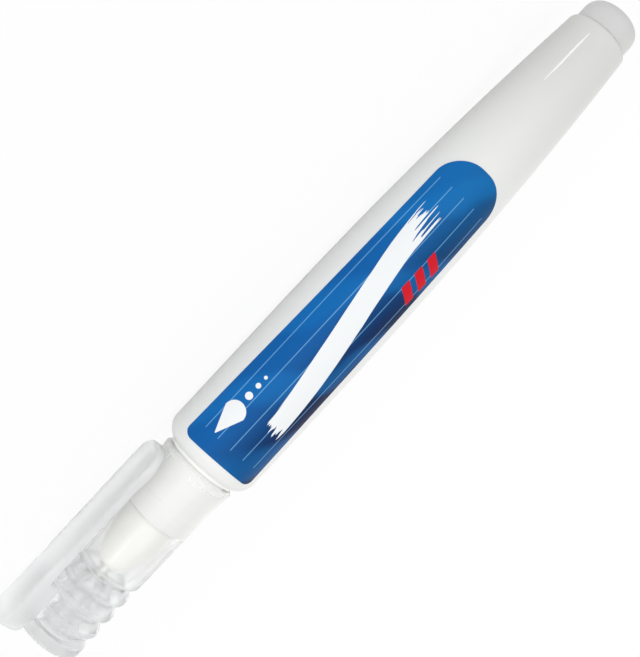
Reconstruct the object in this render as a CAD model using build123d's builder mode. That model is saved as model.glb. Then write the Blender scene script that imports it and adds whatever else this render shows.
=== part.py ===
from build123d import *
import os
from math import acos, atan2, degrees, hypot, sin, tan

# A capped correction pen, lying on its side. +X runs along the pen towards the writing tip,
# +Z is up, and the origin is on the pen's axis, in the middle of the barrel's straight grip.
# The pen lies on its barrel and on one long edge of the pocket clip. Millimetres.

# Barrel: the soft squeeze bottle
barrel_radius = 8.0
barrel_wall = 1.1
grip_length = 24.3
shoulder_length = 2.7
mouth_radius = 5.2
mouth_lip = 1.1
mouth_land = 5.5
taper_length = 61.5
tail_rim_radius = 5.25
tail_rim_wall = 1.15
tail_rim_round = 0.5
tail_land = 6.0

# Tail plug
tail_step = 0.55
tail_dome_length = 4.5
tail_dome_round = 2.2
tail_end_wall = 1.6
tail_plug_short = 0.5
tail_plug_wall = 1.0
plug_lead_in = 0.4

# Neck collar
collar_radius = 4.9
collar_length = 11.3
collar_wall = 1.28
collar_edge = 0.3
flange_setback = 0.3
flange_thickness = 0.5
snap_bead_round = 0.4
snap_bead_rise = 0.3
collar_plug_end = 0.4
cap_bead_setback = 3.2
cap_bead_width = 1.2
fluid_bore_step = 0.6

# Nozzle
nozzle_length = 10.1
nozzle_step = 0.6
nozzle_base_length = 1.5
nozzle_nose_length = 1.1
nozzle_nose_flare = 1.2
nozzle_face_rim = 0.1
nozzle_rear_rim = 1.4

# Metal tip and the needle valve in it
tip_length = 4.0
tip_bore_radius = 0.6
tip_wall = 0.4
tip_stem_depth = 4.8
tip_flange_step = 0.35
tip_flange_thickness = 0.5
tip_straight = 0.5
tip_end_wall = 0.18
orifice_radius = 0.32
orifice_length = 0.9
seat_length = 0.5
needle_reach = 0.35
needle_head_length = 0.8
needle_head_setback = 0.8
needle_guide_length = 2.9

# Spring chamber in the nozzle, with the spring and its retainer
chamber_radius = 1.6
chamber_setback = 0.6
spring_length = 4.8
spring_wire_radius = 0.14
spring_pitch = 0.8
spring_edge = 0.16
retainer_ledge = 0.6
retainer_length = 2.4
flow_hole_radius = 0.4
flow_hole_edge = 0.3
flow_hole_count = 3

# Mixing ball
ball_radius = 2.5

# Cap with its grip grooves and its spigot for the seal
cap_wall = 1.1
cap_flare = 0.4
cap_flare_length = 4.8
cap_mouth_edge = 0.35
cap_grip_draft = 0.1
cap_grip_wall = 1.8
cap_end_wall = 1.6
cap_end_round = 0.9
cap_end_band = 3.35
cap_bore_run = 0.7
cap_taper_length = 10.0
cap_taper_round = 40.0
cap_floor_round = 0.8
groove_count = 4
groove_pitch = 3.3
groove_depth = 0.85
groove_round = 0.2
ridge_width = 0.8
ridge_softness = 0.8
spigot_radius = 1.48
spigot_length = 6.85

# Clip moulded in one with the cap
clip_gap = 0.9
clip_thickness = 1.5
clip_width = 6.4
clip_free_setback = 1.95
clip_nub_reach = 1.8
clip_nub_drop = 1.6
clip_nub_round = 1.8
clip_root_length = 8.0
clip_root_round = 0.6
clip_plan_round = 2.8
clip_edge_round = 0.6
clip_bump_setback = 1.2
clip_bump_length = 6.0
clip_bump_height = 0.35

# Soft seal inside the cap
seal_wall = 1.0
seal_stand_off = 1.9

# Label, as a flat film
label_front_setback = 2.25
label_length = 58.1
label_front_width = 14.75
label_rear_width = 11.8
label_front_corner = 1.1
label_front_hollow = 0.3
label_rear_flat = 1.1
label_thickness = 0.08
label_from_clip = 70.0

# Clearances
press_gap = 0.02
cap_gap = 0.1
bead_gap = 0.02
cap_mouth_gap = 0.25
needle_gap = 0.08
needle_head_gap = 0.45
needle_guide_gap = 0.29
needle_end_gap = 1.4
guide_hole_gap = 0.13
seat_gap = 0.03
spring_gap = 0.02
glue_gap = 0.01
ball_gap = 0.05
ball_end_gap = 0.3

# Stations along the pen
grip_front_x = grip_length / 2
grip_rear_x = -grip_length / 2
barrel_front_x = grip_front_x + shoulder_length
barrel_rear_x = grip_rear_x - taper_length
land_rear_x = barrel_front_x - mouth_land
collar_front_x = barrel_front_x + collar_length
nozzle_front_x = collar_front_x + nozzle_length
tip_front_x = nozzle_front_x + tip_length
tip_rear_x = nozzle_front_x - tip_stem_depth
chamber_front_x = tip_rear_x - chamber_setback
needle_head_x = chamber_front_x - needle_head_setback
spring_front_x = needle_head_x - needle_head_length
retainer_front_x = spring_front_x - spring_length
retainer_rear_x = retainer_front_x - retainer_length
nozzle_rear_x = retainer_rear_x - nozzle_rear_rim
needle_end_x = tip_front_x + needle_reach
cap_mouth_x = barrel_front_x + flange_thickness + cap_mouth_gap
spigot_x = needle_end_x + needle_end_gap
cap_floor_x = spigot_x + spigot_length
cap_end_x = cap_floor_x + cap_end_wall

# Radii that fit one another
inner_radius = barrel_radius - barrel_wall
tail_bore_radius = tail_rim_radius - tail_rim_wall
socket_radius = collar_radius - collar_wall
cap_bore_radius = collar_radius + cap_gap
cap_waist_radius = cap_bore_radius + cap_wall
cap_mouth_radius = cap_waist_radius + cap_flare
cap_grip_radius = cap_waist_radius - cap_grip_draft
tip_stem_radius = tip_bore_radius + tip_wall
tip_flange_radius = tip_stem_radius + tip_flange_step
needle_head_radius = chamber_radius - needle_head_gap
spring_radius = needle_head_radius - spring_edge - spring_wire_radius
needle_guide_radius = spring_radius - spring_wire_radius - needle_guide_gap
retainer_radius = chamber_radius + retainer_ledge

# The taper bends away from the straight grip as one parabola
taper_drop = barrel_radius - tail_rim_radius


def skin_radius(x, outwards=0.0):
    """Radius of the barrel's skin at x on the grip or the taper, moved outwards."""
    run = max(grip_rear_x - x, 0)
    return barrel_radius + outwards - taper_drop * (run / taper_length) ** 2


def taper_points(end_x, outwards=0.0):
    """Control points of the taper's curve, from the grip's rear to end_x."""
    start = (grip_rear_x, barrel_radius + outwards)
    knee = ((grip_rear_x + end_x) / 2, barrel_radius + outwards)
    return start, knee, (end_x, skin_radius(end_x, outwards))


# Turns about the axis, from up towards -Y. The clip's long edge and the barrel touch the table
# together, or the edge hangs lowest where the barrel is too fat for it to reach.
clip_inner_reach = cap_waist_radius + clip_gap
clip_outer_reach = clip_inner_reach + clip_thickness
edge_reach = clip_outer_reach - clip_edge_round
edge_side = clip_width / 2 - clip_edge_round
edge_lift = min((barrel_radius - clip_edge_round) / hypot(edge_reach, edge_side), 1)
clip_turn = 180 - degrees(acos(edge_lift) + atan2(edge_side, edge_reach))
label_turn = clip_turn - label_from_clip

# Barrel: a revolved bottle with a thick mouth for the collar and a thick land for the tail plug
shoulder_front_radius = mouth_radius + mouth_lip
tail_land_x = barrel_rear_x + tail_land
tail_inside_radius = skin_radius(tail_land_x, -barrel_wall)
with BuildPart() as barrel:
    with BuildSketch(Plane.XZ):
        with BuildLine():
            Line((barrel_front_x, mouth_radius), (barrel_front_x, shoulder_front_radius))
            TangentArc(
                (grip_front_x, barrel_radius),
                (barrel_front_x, shoulder_front_radius),
                tangent=(1, 0),
            )
            Line((grip_front_x, barrel_radius), (grip_rear_x, barrel_radius))
            Bezier(*taper_points(barrel_rear_x))
            Polyline(
                (barrel_rear_x, tail_rim_radius),
                (barrel_rear_x, tail_bore_radius),
                (tail_land_x - (tail_inside_radius - tail_bore_radius), tail_bore_radius),
                (tail_land_x, tail_inside_radius),
            )
            Bezier(*taper_points(tail_land_x, -barrel_wall))
            Polyline(
                (grip_rear_x, inner_radius),
                (land_rear_x - (inner_radius - mouth_radius), inner_radius),
                (land_rear_x, mouth_radius),
                (barrel_front_x, mouth_radius),
            )
        make_face()
    revolve(axis=Axis.X)
    rear_circles = barrel.edges().filter_by(GeomType.CIRCLE).group_by(Axis.X)[0]
    fillet(rear_circles.sort_by(SortBy.RADIUS)[-1], radius=tail_rim_round)
barrel.part.label = "barrel"

# Tail plug: a domed cup pressed into the rear of the barrel
tail_dome_radius = tail_rim_radius - tail_step
tail_plug_radius = tail_bore_radius - press_gap
tail_end_x = barrel_rear_x - tail_dome_length
tail_plug_x = tail_land_x - tail_plug_short
with BuildPart() as tail_plug:
    with BuildSketch(Plane.XZ):
        with BuildLine():
            Polyline(
                (tail_end_x, 0),
                (tail_end_x, tail_dome_radius),
                (barrel_rear_x, tail_dome_radius),
                (barrel_rear_x, tail_plug_radius),
                (tail_plug_x - plug_lead_in, tail_plug_radius),
                (tail_plug_x, tail_plug_radius - plug_lead_in),
                (tail_plug_x, tail_plug_radius - tail_plug_wall),
                (tail_end_x + tail_end_wall, tail_plug_radius - tail_plug_wall),
                (tail_end_x + tail_end_wall, 0),
                close=True,
            )
        make_face()
    revolve(axis=Axis.X)
    fillet(tail_plug.edges().filter_by(GeomType.CIRCLE).group_by(Axis.X)[0], radius=tail_dome_round)
tail_plug.part.label = "tail_plug"

# Label: a thin film that narrows towards the tail, cut from a sleeve over the barrel by its outline
# as seen from straight above it
film_inside = glue_gap
film_outside = glue_gap + label_thickness
label_front_x = barrel_front_x - label_front_setback
label_rear_x = label_front_x - label_length
label_rear_radius = skin_radius(label_rear_x)
label_front_half = barrel_radius * sin(label_front_width / 2 / barrel_radius)
label_rear_half = label_rear_radius * sin(label_rear_width / 2 / label_rear_radius)
sleeve_margin = 1.0
sleeve_front_x = label_front_x + sleeve_margin
sleeve_rear_x = label_rear_x - sleeve_margin
with BuildPart() as label:
    with BuildSketch(Plane.XZ):
        with BuildLine():
            for film in (film_inside, film_outside):
                Line((sleeve_front_x, barrel_radius + film), (grip_rear_x, barrel_radius + film))
                Bezier(*taper_points(sleeve_rear_x, film))
            for x in (sleeve_front_x, sleeve_rear_x):
                Line((x, skin_radius(x, film_inside)), (x, skin_radius(x, film_outside)))
        make_face()
    revolve(axis=Axis.X)
    with BuildSketch(Plane.XY.rotated((label_turn, 0, 0))) as label_outline:
        with BuildLine():
            Polyline(
                (label_front_x, label_front_half),
                (label_rear_x, label_rear_half),
                (label_rear_x, -label_rear_half),
                (label_front_x, -label_front_half),
            )
            ThreePointArc(
                (label_front_x, -label_front_half),
                (label_front_x - label_front_hollow, 0),
                (label_front_x, label_front_half),
            )
        make_face()
        rear_corners = label_outline.vertices().group_by(Axis.X)[0]
        fillet(rear_corners, radius=label_rear_half - label_rear_flat / 2)
        front_corners = label_outline.vertices().group_by(Axis.X)[-1]
        fillet(front_corners, radius=label_front_corner)
    extrude(amount=barrel_radius + sleeve_margin, mode=Mode.INTERSECT)
label.part.label = "label"

# Neck collar: flange on the barrel's front, a plug with a snap bead behind it,
# and the outside that the cap pushes onto, with one tight bead near its front
flange_radius = shoulder_front_radius - flange_setback
collar_plug_radius = mouth_radius - press_gap
snap_bead_x = land_rear_x - snap_bead_round - snap_bead_rise
collar_rear_x = snap_bead_x - snap_bead_round - collar_plug_end
cap_bead_x = collar_front_x - cap_bead_setback
with BuildPart() as neck_collar:
    with BuildSketch(Plane.XZ):
        with BuildLine():
            Polyline(
                (snap_bead_x - snap_bead_round, collar_plug_radius),
                (collar_rear_x, collar_plug_radius),
                (collar_rear_x, socket_radius - fluid_bore_step),
                (nozzle_rear_x, socket_radius - fluid_bore_step),
                (nozzle_rear_x, socket_radius),
                (collar_front_x, socket_radius),
                (collar_front_x, collar_radius - collar_edge),
                (collar_front_x - collar_edge, collar_radius),
                (cap_bead_x + cap_bead_width / 2, collar_radius),
            )
            ThreePointArc(
                (cap_bead_x + cap_bead_width / 2, collar_radius),
                (cap_bead_x, cap_bore_radius - bead_gap),
                (cap_bead_x - cap_bead_width / 2, collar_radius),
            )
            Polyline(
                (cap_bead_x - cap_bead_width / 2, collar_radius),
                (barrel_front_x + flange_thickness, collar_radius),
                (barrel_front_x + flange_thickness, flange_radius),
                (barrel_front_x, flange_radius),
                (barrel_front_x, collar_plug_radius),
                (snap_bead_x + snap_bead_round, collar_plug_radius),
            )
            ThreePointArc(
                (snap_bead_x + snap_bead_round, collar_plug_radius),
                (snap_bead_x, collar_plug_radius + snap_bead_rise),
                (snap_bead_x - snap_bead_round, collar_plug_radius),
            )
        make_face()
    revolve(axis=Axis.X)
neck_collar.part.label = "neck_collar"

# Nozzle: an ogive nose on a plug, bored for the metal tip, the spring and its retainer
nozzle_plug_radius = socket_radius - press_gap
nozzle_base_radius = collar_radius - nozzle_step
nozzle_face_radius = tip_flange_radius + nozzle_face_rim
nozzle_nose_radius = nozzle_face_radius + nozzle_nose_flare
with BuildPart() as nozzle:
    with BuildSketch(Plane.XZ):
        with BuildLine():
            ogive = TangentArc(
                (collar_front_x + nozzle_base_length, nozzle_base_radius),
                (nozzle_front_x - nozzle_nose_length, nozzle_nose_radius),
                tangent=(1, 0),
            )
            TangentArc(ogive @ 1, (nozzle_front_x, nozzle_face_radius), tangent=ogive % 1)
            Polyline(
                (nozzle_front_x, nozzle_face_radius),
                (nozzle_front_x, tip_stem_radius + press_gap),
                (chamber_front_x, tip_stem_radius + press_gap),
                (chamber_front_x, chamber_radius),
                (retainer_front_x, chamber_radius),
                (retainer_front_x, retainer_radius + press_gap),
                (nozzle_rear_x, retainer_radius + press_gap),
                (nozzle_rear_x, nozzle_plug_radius),
                (collar_front_x, nozzle_plug_radius),
                (collar_front_x, nozzle_base_radius),
                (collar_front_x + nozzle_base_length, nozzle_base_radius),
            )
        make_face()
    revolve(axis=Axis.X)
nozzle.part.label = "nozzle"

# Metal tip: a turned sleeve with a conical valve seat behind its orifice
tip_flange_x = nozzle_front_x + tip_flange_thickness
seat_front_x = tip_front_x - orifice_length
seat_rear_x = seat_front_x - seat_length
with BuildPart() as tip_sleeve:
    with BuildSketch(Plane.XZ):
        with BuildLine():
            Polyline(
                (tip_rear_x, tip_bore_radius),
                (tip_rear_x, tip_stem_radius),
                (nozzle_front_x, tip_stem_radius),
                (nozzle_front_x, tip_flange_radius),
                (tip_flange_x, tip_flange_radius),
                (tip_flange_x, tip_stem_radius),
                (tip_flange_x + tip_straight, tip_stem_radius),
                (tip_front_x, orifice_radius + tip_end_wall),
                (tip_front_x, orifice_radius),
                (seat_front_x, orifice_radius),
                (seat_rear_x, tip_bore_radius),
                close=True,
            )
        make_face()
    revolve(axis=Axis.X)
tip_sleeve.part.label = "tip_sleeve"

# Needle: a pin through the orifice, a cone that meets the seat, a body, a head and a spring guide
needle_radius = tip_bore_radius - needle_gap
pin_radius = orifice_radius - needle_gap
pin_bevel = pin_radius / 2
seat_slope = seat_length / (tip_bore_radius - orifice_radius)
cone_rear_x = seat_rear_x + needle_gap * seat_slope - seat_gap
cone_front_x = cone_rear_x + (needle_radius - pin_radius) * seat_slope
needle_rear_x = spring_front_x - needle_guide_length
with BuildPart() as valve_needle:
    with BuildSketch(Plane.XZ):
        with BuildLine():
            Polyline(
                (needle_end_x, 0),
                (needle_end_x, pin_radius - pin_bevel),
                (needle_end_x - pin_bevel, pin_radius),
                (cone_front_x, pin_radius),
                (cone_rear_x, needle_radius),
                (needle_head_x, needle_radius),
                (needle_head_x, needle_head_radius),
                (spring_front_x, needle_head_radius),
                (spring_front_x, needle_guide_radius),
                (needle_rear_x, needle_guide_radius),
                (needle_rear_x, 0),
                close=True,
            )
        make_face()
    revolve(axis=Axis.X)
valve_needle.part.label = "valve_needle"

# Spring: an open coil between the needle's head and the retainer
coil_end = spring_wire_radius + spring_gap
with BuildPart() as valve_spring:
    with BuildLine() as coil:
        Helix(
            pitch=spring_pitch,
            height=spring_length - 2 * coil_end,
            radius=spring_radius,
            center=(retainer_front_x + coil_end, 0, 0),
            direction=(1, 0, 0),
        )
    with BuildSketch(Plane(origin=coil.line @ 0, z_dir=coil.line % 0)):
        Circle(spring_wire_radius)
    sweep(path=coil.line, is_frenet=True)
valve_spring.part.label = "valve_spring"

# Retainer: a plug behind the spring, with a middle hole and holes for the fluid
flow_hole_circle = retainer_radius - flow_hole_edge - flow_hole_radius
with BuildPart() as spring_retainer:
    with BuildSketch(Plane.YZ.offset(retainer_rear_x)):
        Circle(retainer_radius)
        Circle(needle_guide_radius + guide_hole_gap, mode=Mode.SUBTRACT)
        with PolarLocations(flow_hole_circle, flow_hole_count):
            Circle(flow_hole_radius, mode=Mode.SUBTRACT)
    extrude(amount=retainer_length)
spring_retainer.part.label = "spring_retainer"

# Mixing ball: lies on the bottom of the barrel, just behind the collar's plug
ball_x = collar_rear_x - ball_end_gap - ball_radius
ball_z = -(inner_radius - ball_radius - ball_gap)
with BuildPart() as mixing_ball:
    with Locations((ball_x, 0, ball_z)):
        Sphere(ball_radius)
mixing_ball.part.label = "mixing_ball"

# Clip: a bar beside the cap with a low swell under its free end and a root block at the closed
# end, cut to a plan with rounded corners. The root runs in to the axis, and the cap's hollow cuts it.
clip_free_x = barrel_front_x + clip_free_setback
clip_nub_x = cap_end_x + clip_nub_reach
clip_root_x = cap_end_x - clip_root_length
clip_nub_inner = clip_inner_reach - clip_nub_drop
bump_start_x = clip_free_x + clip_bump_setback
bump_end_x = bump_start_x + clip_bump_length
plan_plane = Plane.XY.rotated((clip_turn, 0, 0))
clip_outwards = Axis((0, 0, 0), plan_plane.z_dir)
with BuildPart() as clip:
    with BuildSketch(Plane.XZ.rotated((clip_turn, 0, 0))):
        with BuildLine():
            Polyline(
                (clip_nub_x, clip_nub_inner + clip_nub_round),
                (clip_nub_x, clip_outer_reach),
                (clip_free_x, clip_outer_reach),
                (clip_free_x, clip_inner_reach),
                (bump_start_x, clip_inner_reach),
            )
            Spline(
                (bump_start_x, clip_inner_reach),
                ((bump_start_x + bump_end_x) / 2, clip_inner_reach - clip_bump_height),
                (bump_end_x, clip_inner_reach),
                tangents=((1, 0), (1, 0)),
            )
            Line((bump_end_x, clip_inner_reach), (clip_root_x - clip_root_round, clip_inner_reach))
            TangentArc(
                (clip_root_x - clip_root_round, clip_inner_reach),
                (clip_root_x, clip_inner_reach - clip_root_round),
                tangent=(1, 0),
            )
            Polyline(
                (clip_root_x, clip_inner_reach - clip_root_round),
                (clip_root_x, 0),
                (cap_floor_x, 0),
                (cap_floor_x, clip_nub_inner),
                (clip_nub_x - clip_nub_round, clip_nub_inner),
            )
            TangentArc(
                (clip_nub_x - clip_nub_round, clip_nub_inner),
                (clip_nub_x, clip_nub_inner + clip_nub_round),
                tangent=(1, 0),
            )
        make_face()
    extrude(amount=clip_width / 2, both=True)
    with BuildSketch(plan_plane):
        with Locations(((clip_free_x + clip_nub_x) / 2, 0)):
            RectangleRounded(clip_nub_x - clip_free_x, clip_width, clip_plan_round)
    extrude(amount=clip_outer_reach, mode=Mode.INTERSECT)
    fillet(clip.faces().sort_by(clip_outwards)[-1].edges(), radius=clip_edge_round)

# Cap: a revolved plug, grooved for the fingers, then hollowed out around a spigot for the seal
bore_end_x = collar_front_x + cap_bore_run
cap_cavity_radius = cap_grip_radius - cap_grip_wall
groove_half_width = (groove_pitch - ridge_width) / 2
groove_slope = atan2(groove_depth, groove_half_width)
ridge_round = ridge_softness * ridge_width / 2 / tan(groove_slope / 2)
outline = [
    (cap_mouth_x, 0),
    (cap_mouth_x, cap_mouth_radius - cap_mouth_edge),
    (cap_mouth_x + cap_mouth_edge, cap_mouth_radius),
    (cap_mouth_x + cap_flare_length, cap_waist_radius),
]
rounds = [cap_mouth_edge / 2, cap_mouth_edge / 2, cap_flare_length]
for i in reversed(range(groove_count)):
    groove_x = cap_end_x - cap_end_band - i * groove_pitch
    outline.append((groove_x - groove_half_width, cap_grip_radius))
    outline.append((groove_x, cap_grip_radius - groove_depth))
    outline.append((groove_x + groove_half_width, cap_grip_radius))
    rounds += [ridge_round, groove_round, ridge_round]
outline += [(cap_end_x, cap_grip_radius), (cap_end_x, 0)]
rounds.append(cap_end_round)
with BuildPart() as cap:
    with BuildSketch(Plane.XZ):
        with BuildLine():
            FilletPolyline(*outline, radius=rounds)
            Line((cap_end_x, 0), (cap_mouth_x, 0))
        make_face()
    revolve(axis=Axis.X)
    add(clip.part)
    with BuildSketch(Plane.XZ):
        with BuildLine():
            FilletPolyline(
                (cap_mouth_x, cap_bore_radius),
                (bore_end_x, cap_bore_radius),
                (bore_end_x + cap_taper_length, cap_cavity_radius),
                (cap_floor_x, cap_cavity_radius),
                (cap_floor_x, spigot_radius),
                radius=[cap_taper_round, cap_taper_round, cap_floor_round],
            )
            Polyline(
                (cap_floor_x, spigot_radius),
                (spigot_x, spigot_radius),
                (spigot_x, 0),
                (cap_mouth_x, 0),
                (cap_mouth_x, cap_bore_radius),
            )
        make_face()
    revolve(axis=Axis.X, mode=Mode.SUBTRACT)
cap.part.label = "cap"

# Seal: a soft tube on the cap's spigot that closes over the metal tip
seal_bore_radius = spigot_radius + press_gap
seal_rim_x = nozzle_front_x + seal_stand_off
with BuildPart() as cap_tip_seal:
    with BuildSketch(Plane.YZ.offset(seal_rim_x)):
        Circle(seal_bore_radius + seal_wall)
        Circle(seal_bore_radius, mode=Mode.SUBTRACT)
    extrude(amount=cap_floor_x - seal_rim_x)
cap_tip_seal.part.label = "cap_tip_seal"

os.makedirs("parts", exist_ok=True)
pieces = (
    barrel,
    tail_plug,
    label,
    neck_collar,
    nozzle,
    tip_sleeve,
    valve_needle,
    valve_spring,
    spring_retainer,
    mixing_ball,
    cap,
    cap_tip_seal,
)
for piece in pieces:
    export_step(piece.part, f"parts/{piece.part.label}.step")
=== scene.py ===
# %% [markdown]
# A correction pen, dressed for a picture
#
# The pen's solids come from a CAD model that is already packed as a frame: every piece has its
# place, and the cap, the valve needle and the mixing ball already know how they move. This lesson
# only adds looks. We load the frame, set up the camera and a white studio, build the few shapes
# that deserve a finer mesh, and give every piece a finish made of shader nodes.

# %% Load the frame and keep its box
from math import atan2, cos, pi, radians, sin, tan

import bmesh
import bpy
from mathutils import Matrix, Vector


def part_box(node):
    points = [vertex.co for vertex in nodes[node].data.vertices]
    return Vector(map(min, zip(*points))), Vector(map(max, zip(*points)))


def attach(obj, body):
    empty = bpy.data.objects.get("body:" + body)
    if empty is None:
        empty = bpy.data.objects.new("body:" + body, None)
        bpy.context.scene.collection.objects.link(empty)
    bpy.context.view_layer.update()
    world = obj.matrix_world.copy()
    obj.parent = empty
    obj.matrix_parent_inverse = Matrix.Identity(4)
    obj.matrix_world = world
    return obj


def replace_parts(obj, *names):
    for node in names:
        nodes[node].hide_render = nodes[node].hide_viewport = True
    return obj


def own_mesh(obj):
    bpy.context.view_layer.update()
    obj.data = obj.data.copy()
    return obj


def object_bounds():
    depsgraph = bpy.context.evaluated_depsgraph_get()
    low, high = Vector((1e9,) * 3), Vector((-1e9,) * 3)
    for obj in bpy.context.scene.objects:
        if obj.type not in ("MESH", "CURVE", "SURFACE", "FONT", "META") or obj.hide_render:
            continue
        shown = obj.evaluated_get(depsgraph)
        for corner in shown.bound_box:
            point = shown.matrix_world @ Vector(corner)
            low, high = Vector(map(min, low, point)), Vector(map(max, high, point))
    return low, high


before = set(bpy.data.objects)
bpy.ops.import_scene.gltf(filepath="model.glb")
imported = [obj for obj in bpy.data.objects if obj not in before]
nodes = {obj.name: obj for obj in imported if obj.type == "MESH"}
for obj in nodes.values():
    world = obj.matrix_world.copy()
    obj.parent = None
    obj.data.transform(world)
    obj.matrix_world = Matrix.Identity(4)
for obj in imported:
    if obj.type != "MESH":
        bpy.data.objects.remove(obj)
cad_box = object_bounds()
MM = 0.001
scene = bpy.context.scene
scene.view_settings.view_transform = "Standard"


def span(node):
    """Where a CAD node starts and ends along the pen, in mm."""
    low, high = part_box(node)
    return round(low[0] / MM, 3), round(high[0] / MM, 3)


BARREL_REAR, BARREL_FRONT = span("barrel")
print("pieces in the frame:", ", ".join(sorted(nodes)))
print("size in mm:", [round((b - a) / MM, 2) for a, b in zip(*cad_box)])

# %% [markdown]
# The camera stands on the label's side of the pen, a little above the table, and is rolled so that
# the pen crosses the picture from corner to corner. We describe it with the pen's own directions:
# along the barrel towards the tail, and round the barrel towards the clip. That is easier to read
# and to correct than a set of turn angles.

# %% Camera
LOOK_TURN = radians(76.6)
ROLL = radians(47.08)
CAMERA_AWAY = 155.5
LOOK_AT = -12.2
CLIP_SHIFT = 0.84
SENSOR, LENS, NEAREST = 36, 55.6, 10 * MM
to_tail = Vector((-1, 0, 0))
to_viewer = Vector((0, -sin(LOOK_TURN), cos(LOOK_TURN)))
to_clip = Vector((0, -cos(LOOK_TURN), -sin(LOOK_TURN)))
right = to_tail * cos(ROLL) - to_clip * sin(ROLL)
up = to_tail * sin(ROLL) + to_clip * cos(ROLL)
target = Vector((LOOK_AT, 0, 0)) * MM + to_clip * CLIP_SHIFT * MM
camera = bpy.data.objects.new("camera", bpy.data.cameras.new("camera"))
camera.data.sensor_width = SENSOR
camera.data.lens = LENS
camera.data.clip_start = NEAREST
axes = Matrix((right, up, to_viewer)).transposed().to_4x4()
camera.matrix_world = Matrix.Translation(target + to_viewer * CAMERA_AWAY * MM) @ axes
scene.collection.objects.link(camera)
scene.camera = camera
print("camera at", [round(c / MM, 1) for c in camera.location], "mm")

# %% [markdown]
# Everything that follows is built of shader nodes: the white studio as well as the finishes. Adding
# nodes and links one by one makes long scripts, so a few helpers come first. They take plain numbers
# or the sockets of other nodes, and those that add a node give back its output.


# %% Small helpers for node trees
def wire(tree, value, socket):
    """Feed a socket from another socket, or give it a plain number or colour."""
    if isinstance(value, bpy.types.NodeSocket):
        tree.links.new(value, socket)
    else:
        socket.default_value = value


def calc(tree, operation, a, b=0.0, c=0.0):
    """One Math node; a, b and c are numbers or sockets."""
    node = tree.nodes.new("ShaderNodeMath")
    node.operation = operation
    for value, socket in zip((a, b, c), node.inputs):
        wire(tree, value, socket)
    return node.outputs[0]


def ramp(tree, value, low, high, to_low=0.0, to_high=1.0):
    """A smooth step of value between low and high."""
    node = tree.nodes.new("ShaderNodeMapRange")
    node.interpolation_type = "SMOOTHSTEP"
    keys = ("Value", "From Min", "From Max", "To Min", "To Max")
    for key, number in zip(keys, (value, low, high, to_low, to_high)):
        wire(tree, number, node.inputs[key])
    return node.outputs["Result"]


def mix_shaders(tree, choice, first, second):
    """The first shader where the choice is 0, the second where it is 1."""
    node = tree.nodes.new("ShaderNodeMixShader")
    for value, socket in zip((choice, first, second), node.inputs):
        wire(tree, value, socket)
    return node.outputs[0]


print("helpers:", wire.__name__, calc.__name__, ramp.__name__, mix_shaders.__name__)

# %% [markdown]
# The picture has a plain white ground. The world is white to rays that come from the camera, from a
# gloss or through clear plastic. Rays that gather soft light see a calmer grey, so the pen isn't
# flooded. A photographer would flag off part of a white tent for the same reason.


# %% World
def seen_directly(tree):
    """1 for rays that show a thing, 0 for rays that only gather soft light."""
    path = tree.nodes.new("ShaderNodeLightPath").outputs
    seen = calc(tree, "MAXIMUM", path["Is Camera Ray"], path["Is Glossy Ray"])
    return calc(tree, "MAXIMUM", seen, path["Is Transmission Ray"])


def white_sky(tree, strength):
    """A white background of a given strength."""
    node = tree.nodes.new("ShaderNodeBackground")
    node.inputs["Color"].default_value = (1, 1, 1, 1)
    node.inputs["Strength"].default_value = strength
    return node.outputs[0]


AMBIENT = 0.77
world = bpy.data.worlds.new("white_studio")
scene.world = world
world.use_nodes = True
tree = world.node_tree
tree.nodes.clear()
sky = mix_shaders(tree, seen_directly(tree), white_sky(tree, AMBIENT), white_sky(tree, 1.0))
wire(tree, sky, tree.nodes.new("ShaderNodeOutputWorld").inputs["Surface"])
print("soft light of the world:", AMBIENT)

# %% [markdown]
# The floor is one large square just under the pen. It mixes a white glow, which melts into the
# world, with a real matt surface, which keeps a faint shadow. The matt share is largest near the pen
# and fades out with distance, so the floor has no visible edge around the pen.

# %% Floor
FLOOR_HALF = 3000 * MM
FLOOR_GAP = 0.02 * MM
SHADOW_NEAR, SHADOW_FAR = 50 * MM, 250 * MM
GLOW_NEAR = 0.92
floor_z = cad_box[0].z - FLOOR_GAP
corners = [(x * FLOOR_HALF, y * FLOOR_HALF, floor_z) for x, y in ((-1, -1), (1, -1), (1, 1), (-1, 1))]
floor_mesh = bpy.data.meshes.new("floor")
floor_mesh.from_pydata(corners, [], [(0, 1, 2, 3)])
floor = bpy.data.objects.new("floor", floor_mesh)
scene.collection.objects.link(floor)

table_white = bpy.data.materials.new("table_white")
table_white.use_nodes = True
tree = table_white.node_tree
tree.nodes.clear()
matt = tree.nodes.new("ShaderNodeBsdfDiffuse")
matt.inputs["Color"].default_value = (0.9, 0.9, 0.9, 1)
glow = tree.nodes.new("ShaderNodeEmission")
distance = tree.nodes.new("ShaderNodeVectorMath")
distance.operation = "LENGTH"
wire(tree, tree.nodes.new("ShaderNodeTexCoord").outputs["Object"], distance.inputs[0])
fade = ramp(tree, distance.outputs["Value"], SHADOW_NEAR, SHADOW_FAR, GLOW_NEAR, 1.0)
share = calc(tree, "MULTIPLY", seen_directly(tree), fade)
surface = mix_shaders(tree, share, matt.outputs[0], glow.outputs[0])
wire(tree, surface, tree.nodes.new("ShaderNodeOutputMaterial").inputs["Surface"])
floor_mesh.materials.append(table_white)
print("floor at z =", round(floor_z / MM, 2), "mm")

# %% [markdown]
# A large soft box hangs in front and above, on the cap's side, so the barrel gets darker towards its
# tail and on the side turned to the table. A low fill brightens the collar and the nozzle; it is
# kept out of gloss and glass, where it would leave a streak. Two thin strips shine on the cap alone.
# That is light linking: a lamp can name a collection, and only the objects in it receive the lamp.
# The strips lift the clear plastic and what is seen through it. A last soft lamp stands behind, so
# the far side isn't flat.


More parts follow.
